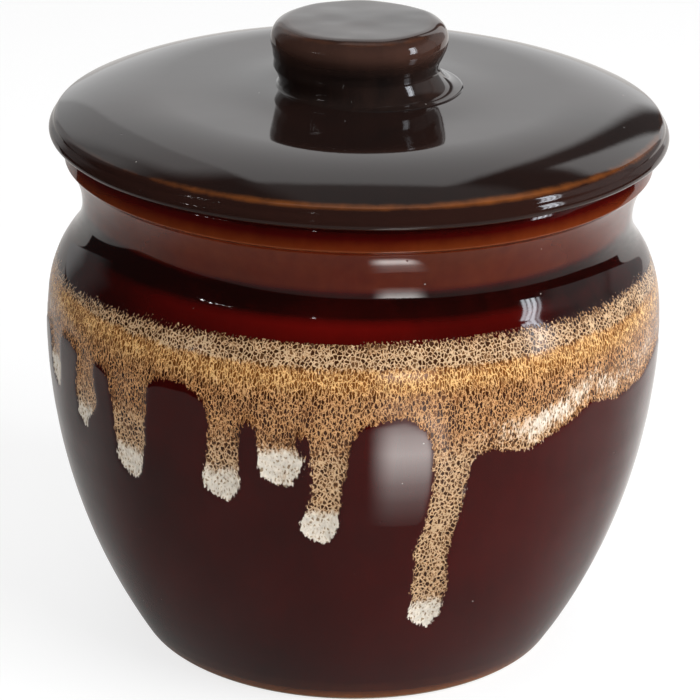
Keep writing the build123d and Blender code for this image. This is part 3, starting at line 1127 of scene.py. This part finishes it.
# What the glaze sees of the room: azimuth from and to and its softness, the same for elevation, and the level.
# Azimuth here is 0 straight behind the jar and grows to the camera's right
ROOM = (
    (-18.0, 16.2, 2.0, -30, 56, 2.5, 1.05),
    (-30.0, -12.0, 6.0, -30, 50, 5.0, 0.80),
    (-45.0, -24.0, 8.0, -30, 44, 8.0, 0.56),
    (-62.0, -40.0, 9.0, -30, 40, 9.0, 0.16),
    (10.0, 27.0, 2.0, -30, 44, 5.0, 0.07),
    (22.3, 32.5, 1.2, -30, 41, 2.0, 1.10),
    (30.0, 62.0, 5.0, -30, 31, 6.0, 0.37),
    (60.0, 100.0, 8.0, -30, 30, 8.0, 0.34),
    (-20.0, 60.0, 6.0, 54, 100, 3.0, 0.24),
    (-80.0, 80.0, 12.0, 73, 100, 3.0, 0.50),
)
ROOM_DARK = 0.02


def studio_world():
    """White to the camera. In the glaze: a bright sweep behind, a board beside it, and a dim room in front."""
    world = bpy.data.worlds.new("studio")
    net = emptied(world)
    x, y, z = net.parts(net.make("ShaderNodeTexCoord", None, "Generated"))
    azimuth, lift = net.maths("ARCTAN2", x, y), net.maths("ARCSINE", z)

    def between(value, low, high, soft):
        low_from, low_to, high_from, high_to = np.radians((low - soft, low + soft, high - soft, high + soft))
        return net.ramp(value, low_from, low_to) * net.ramp(value, high_from, high_to, 1.0, 0.0)

    light = ROOM_DARK
    for left, right, side_soft, low, high, lift_soft, level in ROOM:
        patch = between(azimuth, left, right, side_soft) * between(lift, low, high, lift_soft)
        light = net.maths("MAXIMUM", patch * level, light)
    rays = (net.make("ShaderNodeLightPath", None, f"Is {kind} Ray") for kind in ("Camera", "Transmission"))
    strength = net.blend(net.maths("MAXIMUM", *rays), light, 1.0)
    background = net.make("ShaderNodeBackground", {"Color": WHITE, "Strength": strength})
    net.add("ShaderNodeOutputWorld", {"Surface": background})
    return world


# What the glaze sees of the table, painted as glowing light: its level and how far out it reaches in metres, by
# azimuth from the front
TABLE_LEVEL = (
    (-180, 0.85), (-140, 0.50), (-100, 0.35), (-65, 0.19), (0, 0.22), (50, 0.28), (90, 0.46), (130, 0.92),
    (180, 0.85),
)
TABLE_REACH = (
    (-180, 6.0), (-150, 6.0), (-130, 0.42), (-90, 0.26), (0, 0.37), (90, 0.42), (125, 0.55), (140, 6.0),
    (180, 6.0),
)
TABLE_TINT = (1.0, 0.97, 0.94)
TABLE_EDGE_SHARE = 1.06
FLOOR_LIGHT = 1.19
FLOOR_LIGHT_SHARE = 0.64
FLOOR_HALF = 4.0


def floor_material():
    """Pale floor. The camera sees it nearly white with a soft shadow, and the glaze sees a table top painted as
    glowing light.
    """
    material = bpy.data.materials.new("pale_floor")
    net = emptied(material)
    vector = net.make("ShaderNodeTexCoord", None, "Object")
    x, y, _ = net.parts(vector)
    azimuth = net.maths("ARCTAN2", x, y * -1.0)
    distance = net.make("ShaderNodeVectorMath", {0: vector}, "Value", operation="LENGTH")
    grain = net.ramp(net.noise(vector, 60 * MM, 3.0), 0.2, 0.8, 0.9, 1.1)
    level = net.through(azimuth, TABLE_LEVEL, math.radians(1.0)) * grain
    reach = net.through(azimuth, TABLE_REACH, math.radians(1.0))
    level = level * net.ramp(distance, reach, reach * TABLE_EDGE_SHARE, 1.0, 0.0) + ROOM_DARK
    # Painted light: the table top that the glaze mirrors glows at this level, brighter behind and to the right
    # than in front
    mirrored = net.make("ShaderNodeEmission", {"Color": TABLE_TINT, "Strength": level})
    matt = net.make("ShaderNodeBsdfDiffuse", {"Color": (0.78, 0.78, 0.78)})
    shadowed = net.make("ShaderNodeBsdfDiffuse", {"Color": (0.85, 0.85, 0.85)})
    white = net.make("ShaderNodeEmission", {"Color": WHITE, "Strength": FLOOR_LIGHT})
    seen = net.make("ShaderNodeMixShader", {0: FLOOR_LIGHT_SHARE, 1: shadowed, 2: white})
    glossy, camera = (net.make("ShaderNodeLightPath", None, f"Is {kind} Ray") for kind in ("Glossy", "Camera"))
    chosen = net.make("ShaderNodeMixShader", {0: glossy, 1: matt, 2: mirrored})
    chosen = net.make("ShaderNodeMixShader", {0: camera, 1: chosen, 2: seen})
    net.add("ShaderNodeOutputMaterial", {"Surface": chosen})
    return material


# Upright lamps close in front of the jar that only the glaze sees: how far off the axis, and the level at each
# height, as (height in mm, level)
CARDS = (
    (80 * MM, ((42, 0.2), (50, 1.2), (55, 2.7), (60, 5.5), (65, 8.4), (70, 6.5), (75, 1.6), (84, 0.7))),
    (90 * MM, ((87, 0.3), (90, 3.0), (93.2, 9.0))),
)
CARD_TURN = 11.9
CARD_HALF = 12.5 * MM
CARD_EVEN_HALF = 4 * MM
CARD_TINT = (1.0, 0.96, 0.93)

# Bars of a window, as (azimuth, width, level), and small lamps, as (azimuth, elevation, side in mm)
BARS = ((70.5, 0.034, 9.0), (72.8, 0.034, 12.0), (75.2, 0.034, 13.0), (77.8, 0.028, 6.0))
BAR_TINT = (0.88, 0.93, 1.0)
SMALL_LAMPS = ((-62, 15, 22), (-58.5, 17, 18), (-55.5, 17.5, 14), (-53, 18, 10), (-50.5, 18.5, 8), (-16, 22, 16))

# Lamps that light the jar but don't show in it, as (name, azimuth, elevation, distance, side, radiance)
FILLS = (
    ("key", 55, 35, 1.1, 0.9, 4.7),
    ("left_fill", -60, 30, 1.2, 0.7, 1.3),
    ("front_fill", 0, 30, 1.2, 0.5, 1.8),
    ("top_fill", 0, 88, 1.2, 1.4, 1.0),
)


def light_card(index, away, levels):
    """An upright lamp, soft at its sides and as bright at each height as its levels say."""
    low, high = levels[0][0] * MM, levels[-1][0] * MM
    middle = (low + high) / 2
    card = softbox(f"light_card_{index}", CARD_TURN, 0, away, 2 * CARD_HALF, high - low, 1.0, CARD_TINT)
    card.location.z = middle
    card.visible_diffuse = False
    net = emptied(card.data)
    across, up, _ = net.parts(net.make("ShaderNodeTexCoord", None, "Object"))
    side = net.ramp(net.maths("ABSOLUTE", across), CARD_EVEN_HALF, CARD_HALF, 1.0, 0.0)
    level = side * net.through(up + middle, levels, MM, False)
    net.add("ShaderNodeOutputLight", {"Surface": net.make("ShaderNodeEmission", {"Strength": level})})


def set_lamps():
    """Places the lamps."""
    for index, card in enumerate(CARDS):
        light_card(index, *card)
    for index, (turn, width, level) in enumerate(BARS):
        softbox(f"window_{index}", turn, 21, 1.2, width, 0.62, level, BAR_TINT, tilt=-12)
    for name, turn, lift, distance, side, radiance in FILLS:
        softbox(name, turn, lift, distance, side, side, radiance, mirrored=False)
    for index, (turn, lift, side) in enumerate(SMALL_LAMPS):
        softbox(f"small_lamp_{index}", turn, lift, 1.5, side * MM, side * MM, 60.0)


def set_camera(size):
    """Places the camera as the photographer's stood."""
    camera = bpy.data.cameras.new("camera")
    camera.sensor_width = size.sensor
    camera.lens = size.pixels_per_mm / MM * size.camera_distance / size.image_width * size.sensor
    camera.clip_start, camera.clip_end = 0.01, 50.0
    holder = bpy.data.objects.new("camera", camera)
    away = direction(0.0, size.pitch)
    holder.location = Vector((size.aim_side, 0.0, size.aim_height)) + away * size.camera_distance
    holder.rotation_mode = "QUATERNION"
    roll = Quaternion((0.0, 0.0, 1.0), math.radians(size.roll))
    holder.rotation_quaternion = away.to_track_quat("Z", "Y") @ roll
    bpy.context.scene.collection.objects.link(holder)
    bpy.context.scene.camera = holder


class JAR_OT_set_stage(bpy.types.Operator):
    """Sets the floor, the lamps and the camera"""

    bl_idname = "jar.set_stage"
    bl_label = "Set the stage"

    def execute(self, context):
        scene = context.scene
        scene.view_settings.view_transform = "Standard"
        scene.world = studio_world()
        mesh = bpy.data.meshes.new("floor")
        corners = [(x * FLOOR_HALF, y * FLOOR_HALF, 0) for x, y in ((-1, -1), (1, -1), (1, 1), (-1, 1))]
        mesh.from_pydata(corners, [], [(0, 1, 2, 3)])
        mesh.materials.append(floor_material())
        floor = bpy.data.objects.new("floor", mesh)
        scene.collection.objects.link(floor)
        set_lamps()
        set_camera(scene.stage_sizes)
        return {"FINISHED"}


class JAR_PT_jar(bpy.types.Panel):
    """Lists the pieces' sizes, the glaze colours and the steps"""

    bl_label = "Drip glazed jar"
    bl_idname = "JAR_PT_jar"
    bl_space_type = "VIEW_3D"
    bl_region_type = "UI"
    bl_category = "Jar"

    def draw(self, context):
        for title, group, operator in PANEL_ROWS:
            box = self.layout.box()
            box.label(text=title)
            settings = getattr(context.scene, group)
            for name in settings.bl_rna.properties.keys():
                if name not in ("rna_type", "name"):
                    box.prop(settings, name)
            if operator:
                box.operator(operator)


PANEL_ROWS = (
    ("Jar", "jar_sizes", "jar.throw_jar"),
    ("Lid", "lid_sizes", "jar.throw_lid"),
    ("Knob", "knob_sizes", "jar.turn_knob"),
    ("Glaze", "glaze_colours", None),
    ("Stage", "stage_sizes", "jar.set_stage"),
)
SETTINGS = (
    ("jar_sizes", JarSizes),
    ("lid_sizes", LidSizes),
    ("knob_sizes", KnobSizes),
    ("glaze_colours", GlazeColours),
    ("stage_sizes", StageSizes),
)
CLASSES = (JAR_OT_throw_jar, JAR_OT_throw_lid, JAR_OT_turn_knob, JAR_OT_set_stage, JAR_PT_jar)


def register():
    for name, group in SETTINGS:
        bpy.utils.register_class(group)
        setattr(bpy.types.Scene, name, PointerProperty(type=group))
    for item in CLASSES:
        bpy.utils.register_class(item)


def unregister():
    for item in reversed(CLASSES):
        bpy.utils.unregister_class(item)
    for name, group in reversed(SETTINGS):
        delattr(bpy.types.Scene, name)
        bpy.utils.unregister_class(group)


def main():
    register()
    bpy.ops.jar.throw_jar()
    bpy.ops.jar.throw_lid()
    bpy.ops.jar.turn_knob()
    bpy.ops.jar.set_stage()


if __name__ == "__main__":
    main()
